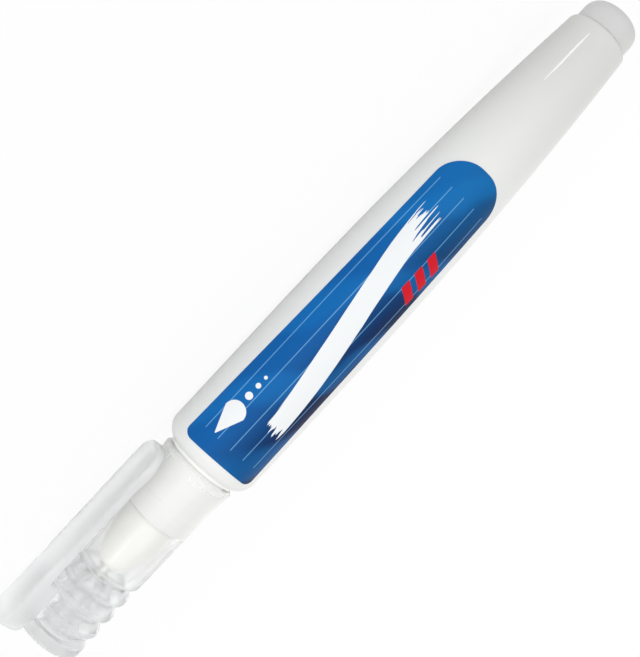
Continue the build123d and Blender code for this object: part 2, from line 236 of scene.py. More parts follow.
# %% Lamps
def lamp(name, place, aim, size, power):
    """An area lamp at a place in mm that shines on a point in mm."""
    data = bpy.data.lights.new(name, "AREA")
    data.shape = "RECTANGLE"
    data.size, data.size_y = size[0] * MM, size[1] * MM
    data.energy = power
    obj = bpy.data.objects.new(name, data)
    obj.location = Vector(place) * MM
    obj.rotation_euler = (Vector(place) - Vector(aim)).to_track_quat("Z", "Y").to_euler()
    scene.collection.objects.link(obj)
    return obj


STRIP_POWER_PER_MM = 0.00055
STRIP_WIDTH, STRIP_PLACE = 12, (-291, 71)
lamp("soft_box", (60, -350, 190), (0, 0, 0), (480, 480), 0.47)
fill = lamp("low_fill", (120, -280, 20), (20, 0, 0), (160, 40), 0.13)
fill.visible_glossy = False
fill.visible_transmission = False
cap_alone = bpy.data.collections.new("cap_alone")
cap_alone.objects.link(nodes["cap"])
for name, middle, length in (("cap_strip_front", 230, 180), ("cap_strip_rear", -5, 110)):
    power = STRIP_POWER_PER_MM * length
    strip = lamp(name, (middle, *STRIP_PLACE), (middle, 0, 0), (length, STRIP_WIDTH), power)
    strip.visible_diffuse = False
    strip.light_linking.receiver_collection = cap_alone
lamp("back_soft", (-40, 300, 220), (0, 0, 0), (400, 400), 0.22)

# %% [markdown]
# An effect that several finishes share is a node group: it is built once, with named inputs and
# outputs, and each material places it with its own values. In this version of Blender the sockets of
# a group are made on its interface. Two more helpers mix colours and make noise of a size in mm.

# %% Helpers for colours, noise and node groups
MIX_A, MIX_B, MIX_RESULT = 6, 7, 2


def tint(tree, mask, first, second):
    """Mix two colours by a mask."""
    node = tree.nodes.new("ShaderNodeMix")
    node.data_type = "RGBA"
    wire(tree, mask, node.inputs["Factor"])
    for colour, socket in ((first, node.inputs[MIX_A]), (second, node.inputs[MIX_B])):
        wire(tree, colour if isinstance(colour, bpy.types.NodeSocket) else (*colour, 1), socket)
    return node.outputs[MIX_RESULT]


def noise(tree, place, size, detail=2.0, stretch=None):
    """Noise whose blobs are about size mm across; stretch lengthens them along the pen."""
    if stretch:
        mapping = tree.nodes.new("ShaderNodeMapping")
        mapping.inputs["Scale"].default_value = (1 / stretch, 1, 1)
        wire(tree, place, mapping.inputs["Vector"])
        place = mapping.outputs[0]
    node = tree.nodes.new("ShaderNodeTexNoise")
    node.inputs["Detail"].default_value = detail
    wire(tree, place, node.inputs["Vector"])
    wire(tree, calc(tree, "DIVIDE", 1.0, size), node.inputs["Scale"])
    return node.outputs["Fac"]


def new_group(name, inputs, outputs):
    """A shader node group with named sockets; inputs are (name, default) pairs."""
    tree = bpy.data.node_groups.new(name, "ShaderNodeTree")
    for key, value in inputs:
        kind = "NodeSocketVector" if value is None else "NodeSocketFloat"
        socket = tree.interface.new_socket(key, in_out="INPUT", socket_type=kind)
        if value is not None:
            socket.default_value = value
    for key, kind in outputs:
        tree.interface.new_socket(key, in_out="OUTPUT", socket_type="NodeSocket" + kind)
    print("group:", name)
    return tree, tree.nodes.new("NodeGroupInput").outputs, tree.nodes.new("NodeGroupOutput").inputs


def use(tree, group, **values):
    """Place a group in a tree and set its inputs; names use _ for a space."""
    node = tree.nodes.new("ShaderNodeGroup")
    node.node_tree = group
    for key, value in values.items():
        wire(tree, value, node.inputs[key.replace("_", " ")])
    return node.outputs


print("helpers:", tint.__name__, noise.__name__, new_group.__name__, use.__name__)

# %% [markdown]
# Every finish needs to know where it is on the pen. This first group turns the object's own
# coordinates into millimetres: the place along the pen, the turn round it as an angle, and the reach
# from its axis. It reads no camera and no picture, so the finish stays on the piece when it moves.

# %% Group: where a point is
group, _, out = new_group(
    "where_on_pen", [], [("Place", "Vector"), ("Along", "Float"), ("Turn", "Float"), ("Reach", "Float")]
)
where_on_pen = group
scaled = group.nodes.new("ShaderNodeVectorMath")
scaled.operation = "SCALE"
scaled.inputs["Scale"].default_value = 1 / MM
wire(group, group.nodes.new("ShaderNodeTexCoord").outputs["Object"], scaled.inputs[0])
split = group.nodes.new("ShaderNodeSeparateXYZ")
wire(group, scaled.outputs[0], split.inputs[0])
minus_y = calc(group, "MULTIPLY", split.outputs["Y"], -1.0)
square_y = calc(group, "MULTIPLY", minus_y, minus_y)
square = calc(group, "MULTIPLY_ADD", split.outputs["Z"], split.outputs["Z"], square_y)
wire(group, scaled.outputs[0], out["Place"])
wire(group, split.outputs["X"], out["Along"])
wire(group, calc(group, "ARCTAN2", minus_y, split.outputs["Z"]), out["Turn"])
wire(group, calc(group, "SQRT", square), out["Reach"])

# %% [markdown]
# Moulded plastic is never perfectly even. The skin carries a very fine grain from the steel mould,
# and the colour drifts a little where the plastic cooled at another pace. Both are noise, at two
# sizes. The drift is longer along the pen, the way the plastic flowed.

# %% Group: moulded skin
group, given, out = new_group(
    "moulded_skin",
    [("Place", None), ("Grain Size", 0.12), ("Drift Size", 9.0)],
    [("Grain", "Float"), ("Drift", "Float")],
)
moulded_skin = group
wire(group, noise(group, given["Place"], given["Grain Size"], detail=3.0), out["Grain"])
drift = noise(group, given["Place"], given["Drift Size"], detail=1.0, stretch=2.5)
wire(group, ramp(group, drift, 0.3, 0.7), out["Drift"])

# %% [markdown]
# Handling leaves long faint scratches. They are noise pulled out along the pen, and a second, larger
# noise lets them show in patches only, where fingers and pockets rub.

# %% Group: handling marks
PATCH_SIZE = 7.0
group, given, out = new_group(
    "handling_marks", [("Place", None), ("Width", 0.25), ("Amount", 0.5)], [("Marks", "Float")]
)
handling_marks = group
lines = noise(group, given["Place"], given["Width"], detail=1.0, stretch=40)
lines = ramp(group, lines, 0.62, 0.72)
patch = noise(group, given["Place"], PATCH_SIZE, detail=1.0)
patch = ramp(group, patch, 0.45, 0.65)
marks = calc(group, "MULTIPLY", lines, patch)
wire(group, calc(group, "MULTIPLY", marks, given["Amount"]), out["Marks"])

# %% [markdown]
# A finish is a material with one Principled shader. What is the same all over the piece, such as the
# index of refraction, is set on the shader's own sockets. What changes over the surface is wired in.
# A finish either goes onto a CAD node as it is, or onto a piece that we build for it.


# %% Helpers: finishes
def new_finish(name, **plain):
    """A material; plain values go straight to the shader's own sockets."""
    material = bpy.data.materials.new(name)
    material.use_nodes = True
    tree = material.node_tree
    shader = tree.nodes["Principled BSDF"]
    for key, value in plain.items():
        shader.inputs[key.replace("_", " ")].default_value = value
    return material, tree, shader.inputs, use(tree, where_on_pen)


def bump(tree, height, normal, strength, depth):
    """Raise the skin by a height; depth is in mm."""
    node = tree.nodes.new("ShaderNodeBump")
    node.inputs["Strength"].default_value = strength
    node.inputs["Distance"].default_value = depth * MM
    wire(tree, height, node.inputs["Height"])
    tree.links.new(node.outputs[0], normal)


def recolour(tree, skin, mask, colour):
    """Lay another colour over a finish where the mask is 1."""
    ground = skin["Base Color"].links[0].from_socket
    wire(tree, tint(tree, mask, ground, colour), skin["Base Color"])


def dress(finish, *names):
    """Give CAD nodes a finish in place of the frame's plain one."""
    for name in names:
        nodes[name].data.materials.clear()
        nodes[name].data.materials.append(finish)
    print(finish.name, "on", ", ".join(names))


print("helpers:", new_finish.__name__, bump.__name__, recolour.__name__, dress.__name__)

# %% [markdown]
# Most pieces of the pen are round about one axis, so their shape is a profile: a loop of points, each
# a place along the pen and a radius. The CAD solids have crisp corners; the real mouldings don't, and
# a small round is what catches the light along an edge. A point with a third number asks for a round
# of that size, and this helper puts a small arc in its place.

# %% Helper: rounded profiles
ROUND_STEPS = 7


def soften(profile):
    """Points (x, radius) stay; points (x, radius, round) become an arc. The profile is a loop."""
    points = []
    for i, (x, radius, *size) in enumerate(profile):
        here = Vector((x, radius))
        if not size:
            points.append(here)
            continue
        one = (Vector(profile[i - 1][:2]) - here).normalized()
        two = (Vector(profile[(i + 1) % len(profile)][:2]) - here).normalized()
        half = one.angle(two) / 2
        middle = here + (one + two).normalized() * (size[0] / sin(half))
        start = (here + one * (size[0] / tan(half)) - middle).normalized()
        end = (here + two * (size[0] / tan(half)) - middle).normalized()
        for k in range(ROUND_STEPS + 1):
            points.append(middle + start.slerp(end, k / ROUND_STEPS) * size[0])
    return points


print("points in a rounded corner:", ROUND_STEPS + 1)

# %% [markdown]
# A profile becomes a piece when it is spun about X. One helper puts any mesh into the scene: it
# smooths the faces, keeps sharp edges sharp, and says which body the piece rides on. A turned piece
# stands for its CAD node, which is then hidden but still used for contact.

# %% Helpers: pieces
SHARP = radians(35)


def place_mesh(name, bm, body, slot, finishes):
    """Put a bmesh in the scene as a smooth piece that rides a body."""
    bmesh.ops.recalc_face_normals(bm, faces=bm.faces)
    for face in bm.faces:
        face.smooth = True
    for edge in bm.edges:
        edge.smooth = edge.calc_face_angle(0) < SHARP
    mesh = bpy.data.meshes.new(name)
    bm.to_mesh(mesh)
    bm.free()
    for finish in finishes:
        mesh.materials.append(finish)
    piece = bpy.data.objects.new(name, mesh)
    scene.collection.objects.link(piece)
    even = piece.modifiers.new("even_normals", "WEIGHTED_NORMAL")
    even.keep_sharp = True
    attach(piece, body)
    print(name, "has", len(mesh.polygons), "faces")
    return piece


def turned(name, profile, node, body, slot, finishes, segments=96):
    """Spin a closed profile in mm about X, in place of a CAD node."""
    bm = bmesh.new()
    rings = []
    for x, radius in soften(profile):
        count = segments if radius > 0 else 1
        angles = [2 * pi * k / count for k in range(count)]
        ring = [(x * MM, radius * cos(a) * MM, radius * sin(a) * MM) for a in angles]
        rings.append([bm.verts.new(point) for point in ring])
    for one, two in zip(rings, rings[1:] + rings[:1]):
        for k in range(segments):
            j = k + 1
            corners = [one[k % len(one)], one[j % len(one)], two[j % len(two)], two[k % len(two)]]
            corners = list(dict.fromkeys(corners))
            if len(corners) > 2:
                bm.faces.new(corners)
    piece = place_mesh(name, bm, body, slot, finishes)
    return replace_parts(piece, node)


print("helpers:", place_mesh.__name__, turned.__name__)

# %% [markdown]
# The barrel is a soft squeeze bottle. Its white wall lets a little light in, so it looks milky
# rather than painted. Its colour also turns greyer towards its narrow end, which is painted shade for
# the light that falls off towards the tail. A ramp along the pen makes that change, and the drift of
# the moulding softens it. All the white plastics share one recipe and differ in colour, gloss and the
# size of their grain. The plug in the tail is a little greyer still.


# %% White plastics
def new_plastic(name, dark, light, rough, grain_size, drift_size):
    """A moulded plastic whose colour drifts between dark and light."""
    finish, tree, skin, at = new_finish(name, IOR=1.5, Specular_IOR_Level=0.35)
    grain = use(tree, moulded_skin, Place=at["Place"], Grain_Size=grain_size, Drift_Size=drift_size)
    marks = use(tree, handling_marks, Place=at["Place"], Width=0.2, Amount=0.1)["Marks"]
    wire(tree, tint(tree, grain["Drift"], dark, light), skin["Base Color"])
    rough = calc(tree, "MULTIPLY_ADD", grain["Drift"], 0.06, rough)
    wire(tree, calc(tree, "ADD", marks, rough), skin["Roughness"])
    bump(tree, grain["Grain"], skin["Normal"], strength=0.12, depth=0.02)
    return finish, tree, skin, at, grain


TAIL_SHADE_STARTS, TAIL_SHADE_FULL = -35.0, -72.0
barrel_white, tree, skin, at, grain = new_plastic(
    "barrel_white", (0.785, 0.80, 0.785), (0.81, 0.815, 0.80), rough=0.36, grain_size=0.15, drift_size=10.0
)
# Painted shade: the colour turns greyer towards the tail, where the light falls off.
tail_shade = tint(tree, grain["Drift"], (0.655, 0.66, 0.65), (0.685, 0.685, 0.67))
recolour(tree, skin, ramp(tree, at["Along"], TAIL_SHADE_STARTS, TAIL_SHADE_FULL), tail_shade)
dress(barrel_white, "barrel")
plug_white = new_plastic(
    "plug_white", (0.62, 0.625, 0.62), (0.66, 0.66, 0.65), rough=0.38, grain_size=0.12, drift_size=4.0
)[0]
retainer_white = new_plastic(
    "retainer_white", (0.80, 0.80, 0.78), (0.84, 0.84, 0.82), rough=0.36, grain_size=0.1, drift_size=2.0
)[0]
dress(retainer_white, "spring_retainer")

# %% [markdown]
# The tail plug closes the bottle after it is filled. It is a small domed cup, pushed in up to its
# step, with a dimple where the mould was fed. Its profile starts in the dimple, runs out over the
# dome and comes back along the inside of the cup.

# %% Tail plug
PLUG_RADIUS, PLUG_STEM, PLUG_WALL, PLUG_END_WALL = 4.7, 4.08, 1.0, 1.6
DOME_ROUND, PLUG_LEAD_IN = 2.2, 0.4
DIMPLE_RADIUS, DIMPLE_DEPTH, DIMPLE_SLOPE = 0.5, 0.15, 0.25
rear, front = span("tail_plug")
inside = PLUG_STEM - PLUG_WALL
turned(
    "tail_plug_rounded",
    (
        (rear + DIMPLE_DEPTH, 0),
        (rear + DIMPLE_DEPTH, DIMPLE_RADIUS, 0.1),
        (rear, DIMPLE_RADIUS + DIMPLE_SLOPE, 0.1),
        (rear, PLUG_RADIUS, DOME_ROUND),
        (BARREL_REAR, PLUG_RADIUS, 0.25),
        (BARREL_REAR, PLUG_STEM),
        (front - PLUG_LEAD_IN, PLUG_STEM),
        (front, PLUG_STEM - PLUG_LEAD_IN),
        (front, inside),
        (rear + PLUG_END_WALL, inside),
        (rear + PLUG_END_WALL, 0),
    ),
    "tail_plug",
    "pen_body",
    "plug_plastic",
    [plug_white],
)

# %% [markdown]
# A bottle is blown in a mould of two halves, and where they meet a fine seam is left on each side.
# It shows most on the taper as a thin bright line. That line is a painted highlight: the seam is
# coloured far whiter than the barrel, in place of a glint along it. A seam follows the barrel's skin,
# so first we need the skin's radius at any place: even on the grip, then smaller and smaller towards
# the tail.

# %% The barrel's skin
GRIP_RADIUS, TAIL_RADIUS = 8.0, 5.25
TAPER_START = -12.15


def skin_radius(x):
    """The barrel's radius on its grip and its taper, in mm."""
    share = max(TAPER_START - x, 0) / (TAPER_START - BARREL_REAR)
    return GRIP_RADIUS - (GRIP_RADIUS - TAIL_RADIUS) * share**2


print("skin radius at the tail:", round(skin_radius(BARREL_REAR), 2), "mm")

# %% [markdown]
# Each seam is a low ridge, highest in its middle and gone at both ends. Its cross-section is a small
# swell with two more points under the skin, so the ridge is a closed shape that grows out of the
# barrel. A bump in the material could hint at it, but only a mesh shows at the barrel's outline.

# %% Mould seams on the barrel
SEAM_REAR = -71.6
RIDGE_HALF = 4
SUNK, FOOT_DEPTH = 0.01, 0.15


def seam(name, turn, end, half_width, height, steps=60):
    """A low ridge along the barrel at a turn, from the tail to an end in x, all in mm."""
    bm = bmesh.new()
    rings = []
    for i in range(steps + 1):
        x = SEAM_REAR + (end - SEAM_REAR) * i / steps
        swell = sin(pi * i / steps) ** 0.5
        ring = []
        for k in range(-RIDGE_HALF, RIDGE_HALF + 1):
            side = k / RIDGE_HALF
            lift = height * swell * cos(pi / 2 * side) ** 2
            ring.append((side * half_width * max(swell, 0.05), skin_radius(x) + lift - SUNK))
        ring += [(side * half_width / 2, skin_radius(x) - FOOT_DEPTH) for side in (1, -1)]
        verts = []
        for side, radius in ring:
            angle = turn + side / radius
            verts.append(bm.verts.new((x * MM, -radius * sin(angle) * MM, radius * cos(angle) * MM)))
        rings.append(verts)
    for one, two in zip(rings, rings[1:]):
        for k in range(len(one)):
            j = (k + 1) % len(one)
            bm.faces.new((one[k], one[j], two[j], two[k]))
    bm.faces.new(rings[0])
    bm.faces.new(rings[-1])
    return place_mesh(name, bm, "pen_body", "barrel_plastic", [seam_painted_highlight])


# Painted highlight: the seams are coloured far whiter than the barrel, for a glint along them.
seam_painted_highlight = new_plastic(
    "seam_painted_highlight", (0.88, 0.88, 0.87), (0.94, 0.94, 0.93), rough=0.22, grain_size=0.1, drift_size=3.0
)[0]
seam("seam_front", radians(91.5), end=-61.4, half_width=0.22, height=0.05)
seam("seam_back", radians(271.5), end=-20.0, half_width=0.2, height=0.04)

# %% [markdown]
# Behind the clear cap sit the neck collar, a hard white, and the nozzle, which is a warmer cream.
# Little light gets into the joint where they meet, so a thin painted shade is laid there: a small
# group darkens the last part of each piece before the joint, and both finishes use it.

# %% Group: shade at a joint, and the two finishes
group, given, out = new_group(
    "joint_shade", [("Along", 0.0), ("Clean", 0.0), ("Dark", 1.0)], [("Shade", "Float")]
)
joint_shade = group
wire(group, ramp(group, given["Along"], given["Clean"], given["Dark"]), out["Shade"])

collar_white, tree, skin, at, _ = new_plastic(
    "collar_white", (0.915, 0.92, 0.89), (0.935, 0.935, 0.91), rough=0.34, grain_size=0.1, drift_size=5.0
)
# Painted shade: the collar darkens just before its joint with the nozzle.
shade = use(tree, joint_shade, Along=at["Along"], Clean=25.75, Dark=26.0)["Shade"]
recolour(tree, skin, shade, (0.66, 0.66, 0.63))
nozzle_cream, tree, skin, at, _ = new_plastic(
    "nozzle_cream", (0.855, 0.85, 0.795), (0.88, 0.875, 0.825), rough=0.36, grain_size=0.1, drift_size=3.5
)
# Painted shade: the nozzle darkens just after its joint with the collar.
shade = use(tree, joint_shade, Along=at["Along"], Clean=26.75, Dark=26.2)["Shade"]
recolour(tree, skin, shade, (0.66, 0.65, 0.6))

# %% [markdown]
# The collar snaps into the barrel's mouth with a bead and holds the cap on another, lower one. On a
# profile a bead is a shallow hump, which a few points of a parabola draw well enough.

# %% Helper: a low bead
BEAD_STEPS = 4


def bead(middle, half_length, radius, rise):
    """Points of a low bead round the pen, from its front to its rear."""
    points = []
    for k in range(-BEAD_STEPS, BEAD_STEPS + 1):
        share = k / BEAD_STEPS
        points.append((middle - half_length * share, radius + rise * (1 - share**2)))
    return points


print("points in a bead:", 2 * BEAD_STEPS + 1)

# %% [markdown]
# The cap's wall bears on the collar: with no film of air between, the collar is seen across the cap's
# whole width. The CAD solid keeps a sliding clearance there, so our collar is a touch larger than the
# solid. It presses into the wall as a push fit does, by 0.03 mm, and by 0.11 mm at the bead.

# %% Neck collar
COLLAR_RADIUS, COLLAR_EDGE = 5.03, 0.3
NECK_RADIUS, FLANGE_RADIUS, FLANGE_THICK = 5.18, 6.0, 0.5
FLUID_BORE, NOZZLE_SEAT = 3.02, 3.62
CAP_BEAD_BACK, SNAP_BEAD_IN = 3.2, 0.8
collar_rear, collar_front = span("neck_collar")
nozzle_rear, nozzle_front = span("nozzle")
flange_front = BARREL_FRONT + FLANGE_THICK
turned(
    "neck_collar_rounded",
    [
        (collar_rear, NECK_RADIUS),
        (collar_rear, FLUID_BORE),
        (nozzle_rear, FLUID_BORE),
        (nozzle_rear, NOZZLE_SEAT),
        (collar_front, NOZZLE_SEAT, 0.08),
        (collar_front, COLLAR_RADIUS - COLLAR_EDGE, 0.12),
        (collar_front - COLLAR_EDGE, COLLAR_RADIUS, 0.12),
        *bead(collar_front - CAP_BEAD_BACK, half_length=0.6, radius=COLLAR_RADIUS, rise=0.08),
        (flange_front, COLLAR_RADIUS, 0.2),
        (flange_front, FLANGE_RADIUS, 0.12),
        (BARREL_FRONT, FLANGE_RADIUS, 0.12),
        (BARREL_FRONT, NECK_RADIUS),
        *bead(collar_rear + SNAP_BEAD_IN, half_length=0.4, radius=NECK_RADIUS, rise=0.3),
    ],
    "neck_collar",
    "pen_body",
    "collar_plastic",
    [collar_white],
    segments=128,
)

# %% [markdown]
# The nozzle's outline is drawn with arcs that leave one another without a corner. Such an arc is
# fixed by the point and the direction in which it starts and by the point where it ends. The helper
# also gives back the direction at its end, for the next arc to leave from.


# %% Helper: an arc that leaves smoothly
def tangent_arc(start, direction, end, steps=24):
    """Points of the arc that leaves start along direction and reaches end, and its last direction."""
    start, direction, end = Vector(start), Vector(direction).normalized(), Vector(end)
    side = Vector((-direction.y, direction.x))
    step = end - start
    radius = step.length_squared / (2 * step.dot(side))
    middle = start + side * radius
    total = 2 * atan2(step.dot(side), step.dot(direction))
    points = []
    for k in range(1, steps + 1):
        angle = total * k / steps
        points.append(tuple(middle + (direction * sin(angle) - side * cos(angle)) * radius))
    return points, direction * cos(total) + side * sin(total)


print("helper:", tangent_arc.__name__)

# %% [markdown]
# The nozzle carries the metal tip. Outside it is a short straight base and a nose of two arcs, the
# second leaving the first without a corner. Inside are the bore for the tip, the chamber of the
# valve and the seat of the spring's retainer. A subdivided cone could give the outside, but a
# profile gives both and keeps the bores true.

# %% Nozzle
NOZZLE_RADIUS, NOSE_RADIUS, FACE_RADIUS = 4.3, 2.65, 1.45
BASE_LENGTH, NOSE_LENGTH = 1.5, 1.1
TIP_BORE, CHAMBER_RADIUS, RETAINER_BORE, STEM_RADIUS = 1.02, 1.6, 2.22, 3.6
CHAMBER_GAP = 0.6
tip_rear, tip_front = span("tip_sleeve")
retainer_front = span("spring_retainer")[1]
chamber_front = tip_rear - CHAMBER_GAP
base = (collar_front + BASE_LENGTH, NOZZLE_RADIUS)
shoulder = (nozzle_front - NOSE_LENGTH, NOSE_RADIUS)
ogive, slope = tangent_arc(base, (1, 0), shoulder)
nose, _ = tangent_arc(shoulder, slope, (nozzle_front, FACE_RADIUS), 12)
turned(
    "nozzle_rounded",
    [
        (collar_front, NOZZLE_RADIUS, 0.15),
        base,
        *ogive,
        *nose,
        (nozzle_front, TIP_BORE),
        (chamber_front, TIP_BORE),
        (chamber_front, CHAMBER_RADIUS),
        (retainer_front, CHAMBER_RADIUS),
        (retainer_front, RETAINER_BORE),
        (nozzle_rear, RETAINER_BORE),
        (nozzle_rear, STEM_RADIUS),
        (collar_front, STEM_RADIUS),
    ],
    "nozzle",
    "pen_body",
    "nozzle_plastic",
    [nozzle_cream],
    segments=128,
)

# %% [markdown]
# The cap is clear moulded plastic, a little hazy. Light that crosses it is bent, blurred by the grain
# of the mould and tinted at each surface: hardly at the walls and the clip, more at the thick ribs,
# which look smoky. The clip is rougher than the walls, and its root is frosted, because a thick clear
# root traps light and would look black. A thin absorption in the volume makes long ways
# through the plastic a touch greyer. Clear plastic hardly shades what is behind it, so the cap casts
# no shadow of its own.

# %% Cap
RIBS_ALONG, ROOT_ALONG = (34.8, 36.4), (39.0, 42.0)
CLIP_REACH, ROOT_REACH = (6.2, 6.6), (5.85, 6.1)
WALL_ROUGH, CLIP_ROUGHER, ROOT_ROUGHER, DRIFT_ROUGHER = 0.15, 0.14, 0.45, 0.05
cap_clear, tree, skin, at = new_finish("cap_clear", IOR=1.49, Transmission_Weight=0.78)
grain = use(tree, moulded_skin, Place=at["Place"], Grain_Size=0.2, Drift_Size=4.0)
marks = use(tree, handling_marks, Place=at["Place"], Width=0.2, Amount=0.05)["Marks"]
clear = tint(tree, grain["Drift"], (0.97, 0.985, 0.98), (0.985, 0.983, 0.99))
veiled = tint(tree, grain["Drift"], (0.99, 0.996, 0.992), (0.996, 0.996, 0.998))
smoky = tint(tree, grain["Drift"], (0.89, 0.91, 0.91), (0.915, 0.92, 0.925))
on_ribs = ramp(tree, at["Along"], *RIBS_ALONG)
on_clip = ramp(tree, at["Reach"], *CLIP_REACH)
wire(tree, tint(tree, on_clip, tint(tree, on_ribs, veiled, smoky), clear), skin["Base Color"])
near_root = ramp(tree, at["Along"], *ROOT_ALONG)
on_root = calc(tree, "MULTIPLY", ramp(tree, at["Reach"], *ROOT_REACH), near_root)
rough = calc(tree, "MULTIPLY_ADD", on_clip, CLIP_ROUGHER, WALL_ROUGH)
rough = calc(tree, "MULTIPLY_ADD", on_root, ROOT_ROUGHER, rough)
rough = calc(tree, "MULTIPLY_ADD", grain["Drift"], DRIFT_ROUGHER, rough)
wire(tree, calc(tree, "ADD", marks, rough), skin["Roughness"])
bump(tree, grain["Grain"], skin["Normal"], strength=0.04, depth=0.02)
dim = tree.nodes.new("ShaderNodeVolumeAbsorption")
dim.inputs["Color"].default_value = (0.5, 0.54, 0.53, 1)
dim.inputs["Density"].default_value = 8
tree.links.new(dim.outputs[0], tree.nodes["Material Output"].inputs["Volume"])
dress(cap_clear, "cap")
nodes["cap"].visible_shadow = False

# %% [markdown]
# The seal is a soft clear tube in the cap that closes round the metal tip. Its mouth tapers, and the
# first millimetre is given a pale frosted finish, so it shows through the cap as a paler rim. That pale
# rim is a painted highlight, for the bright glint on the seal's mouth. The faces of that rim get a
# finish of their own: each face of a mesh can name one of the piece's materials.

# %% Seal
SEAL_BORE, SEAL_RADIUS, MOUTH_RADIUS = 1.5, 2.5, 2.0
MOUTH_LENGTH, MOUTH_TAPER, RIM_HIGHLIGHT_LENGTH = 1.0, 1.0, 0.95
seal_clear, tree, skin, at = new_finish("seal_clear", IOR=1.42, Transmission_Weight=0.92)
grain = use(tree, moulded_skin, Place=at["Place"], Grain_Size=0.2, Drift_Size=2.5)
wire(tree, tint(tree, grain["Drift"], (0.9, 0.92, 0.92), (0.95, 0.96, 0.96)), skin["Base Color"])
wire(tree, calc(tree, "MULTIPLY_ADD", grain["Drift"], 0.06, 0.08), skin["Roughness"])
# Painted highlight: the pale frosted rim stands for the glint on the seal's mouth.
seal_rim_painted_highlight = new_plastic(
    "seal_rim_painted_highlight", (0.9, 0.9, 0.89), (0.96, 0.96, 0.95), rough=0.5, grain_size=0.1, drift_size=1.0
)[0]
mouth, seal_end = span("cap_tip_seal")
seal = turned(
    "cap_tip_seal_rounded",
    (
        (mouth, SEAL_BORE, 0.1),
        (mouth, MOUTH_RADIUS, 0.1),
        (mouth + MOUTH_LENGTH, MOUTH_RADIUS),
        (mouth + MOUTH_LENGTH + MOUTH_TAPER, SEAL_RADIUS, 0.5),
        (seal_end, SEAL_RADIUS),
        (seal_end, SEAL_BORE),
        (mouth + MOUTH_LENGTH, SEAL_BORE),
    ),
    "cap_tip_seal",
    "cap",
    "seal_soft",
    [seal_clear, seal_rim_painted_highlight],
)
for face in seal.data.polygons:
    face.material_index = int(face.center.x < (mouth + RIM_HIGHLIGHT_LENGTH) * MM)
seal.visible_shadow = False

# %% [markdown]
# The metal pieces are turned, drawn or ground. A lathe leaves fine rings round the axis, so their
# height is a wave along the pen with a little noise in its spacing. The same noise clouds the colour
# and the polish. Each metal gives the rings its own pitch and depth.

# %% Group: rings left by a lathe
CLOUD_SIZE = 0.9
group, given, out = new_group(
    "turned_rings",
    [("Place", None), ("Along", 0.0), ("Pitch", 0.12)],
    [("Rings", "Float"), ("Cloud", "Float")],
)
turned_rings = group
cloud = noise(group, given["Place"], CLOUD_SIZE, detail=2.0)
turns = calc(group, "DIVIDE", given["Along"], given["Pitch"])
phase = calc(group, "MULTIPLY_ADD", cloud, 3.0, calc(group, "MULTIPLY", turns, 2 * pi))
wave = calc(group, "SINE", phase)
wire(group, calc(group, "MULTIPLY_ADD", wave, 0.5, 0.5), out["Rings"])
wire(group, cloud, out["Cloud"])


def new_metal(name, dark, light, rough, pitch, depth):
    """A metal finish: two close colours, a roughness and the lathe's rings."""
    finish, tree, skin, at = new_finish(name, Metallic=1.0)
    rings = use(tree, turned_rings, Place=at["Place"], Along=at["Along"], Pitch=pitch)
    wire(tree, tint(tree, rings["Cloud"], dark, light), skin["Base Color"])
    wire(tree, calc(tree, "MULTIPLY_ADD", rings["Cloud"], 0.12, rough - 0.06), skin["Roughness"])
    bump(tree, rings["Rings"], skin["Normal"], strength=0.3, depth=depth)
    return finish


# %% [markdown]
# The metal tip is a turned sleeve of a warm white metal. A stem sits in the nozzle, a small flange
# stops it at the nozzle's face, and a long cone ends in the opening for the fluid. The needle inside
# is ground steel, and the mixing ball in the barrel is polished.

# %% Metal tip, needle and ball
SLEEVE_BORE, SLEEVE_STEM, SLEEVE_FLANGE = 0.6, 1.0, 1.35
SLEEVE_END, OPENING = 0.5, 0.32
FLANGE_LENGTH, STRAIGHT_LENGTH, OPENING_LENGTH, SEAT_LENGTH = 0.5, 0.5, 0.9, 0.5
flange_end = nozzle_front + FLANGE_LENGTH
opening_start = tip_front - OPENING_LENGTH
tip_nickel = new_metal(
    "tip_nickel", (0.62, 0.6, 0.55), (0.74, 0.72, 0.67), rough=0.24, pitch=0.1, depth=0.004
)
turned(
    "tip_sleeve_rounded",
    (
        (tip_rear, SLEEVE_BORE),
        (tip_rear, SLEEVE_STEM),
        (nozzle_front, SLEEVE_STEM),
        (nozzle_front, SLEEVE_FLANGE, 0.08),
        (flange_end, SLEEVE_FLANGE, 0.12),
        (flange_end, SLEEVE_STEM, 0.06),
        (flange_end + STRAIGHT_LENGTH, SLEEVE_STEM, 0.5),
        (tip_front, SLEEVE_END, 0.08),
        (tip_front, OPENING, 0.05),
        (opening_start, OPENING),
        (opening_start - SEAT_LENGTH, SLEEVE_BORE),
    ),
    "tip_sleeve",
    "pen_body",
    "tip_metal",
    [tip_nickel],
)
needle_steel = new_metal(
    "needle_steel", (0.6, 0.6, 0.61), (0.7, 0.7, 0.71), rough=0.2, pitch=0.08, depth=0.003
)
dress(needle_steel, "valve_needle")
ball_steel = new_metal(
    "ball_steel", (0.62, 0.62, 0.63), (0.72, 0.72, 0.73), rough=0.12, pitch=0.4, depth=0.0005
)
dress(ball_steel, "mixing_ball")

# %% [markdown]
# The valve spring is hidden in the nozzle and shows when the pen is cut open or taken apart. A wound
# spring has one closed turn at each end, which a plain helix lacks. So the pitch is close in the first
# and the last turn, and what is left of the length sets the number of open turns between.

# %% Valve spring: its turns
SPRING_REAR, SPRING_LENGTH = retainer_front, 4.8
COIL_RADIUS, WIRE_RADIUS, OPEN_PITCH = 0.85, 0.14, 0.8
END_GAP = 0.02
closed_pitch = 2 * WIRE_RADIUS
first_x = SPRING_REAR + WIRE_RADIUS + END_GAP
last_x = SPRING_REAR + SPRING_LENGTH - WIRE_RADIUS - END_GAP
open_turns = (last_x - first_x - 2 * closed_pitch) / OPEN_PITCH
all_turns = open_turns + 2
print("spring turns:", round(all_turns, 2))

# %% [markdown]
# The wire is a row of rings along that helix, joined by faces. A curve with a bevel would be shorter
# to write, but rings keep the number of sides and the flat ends of the wire in our hands.

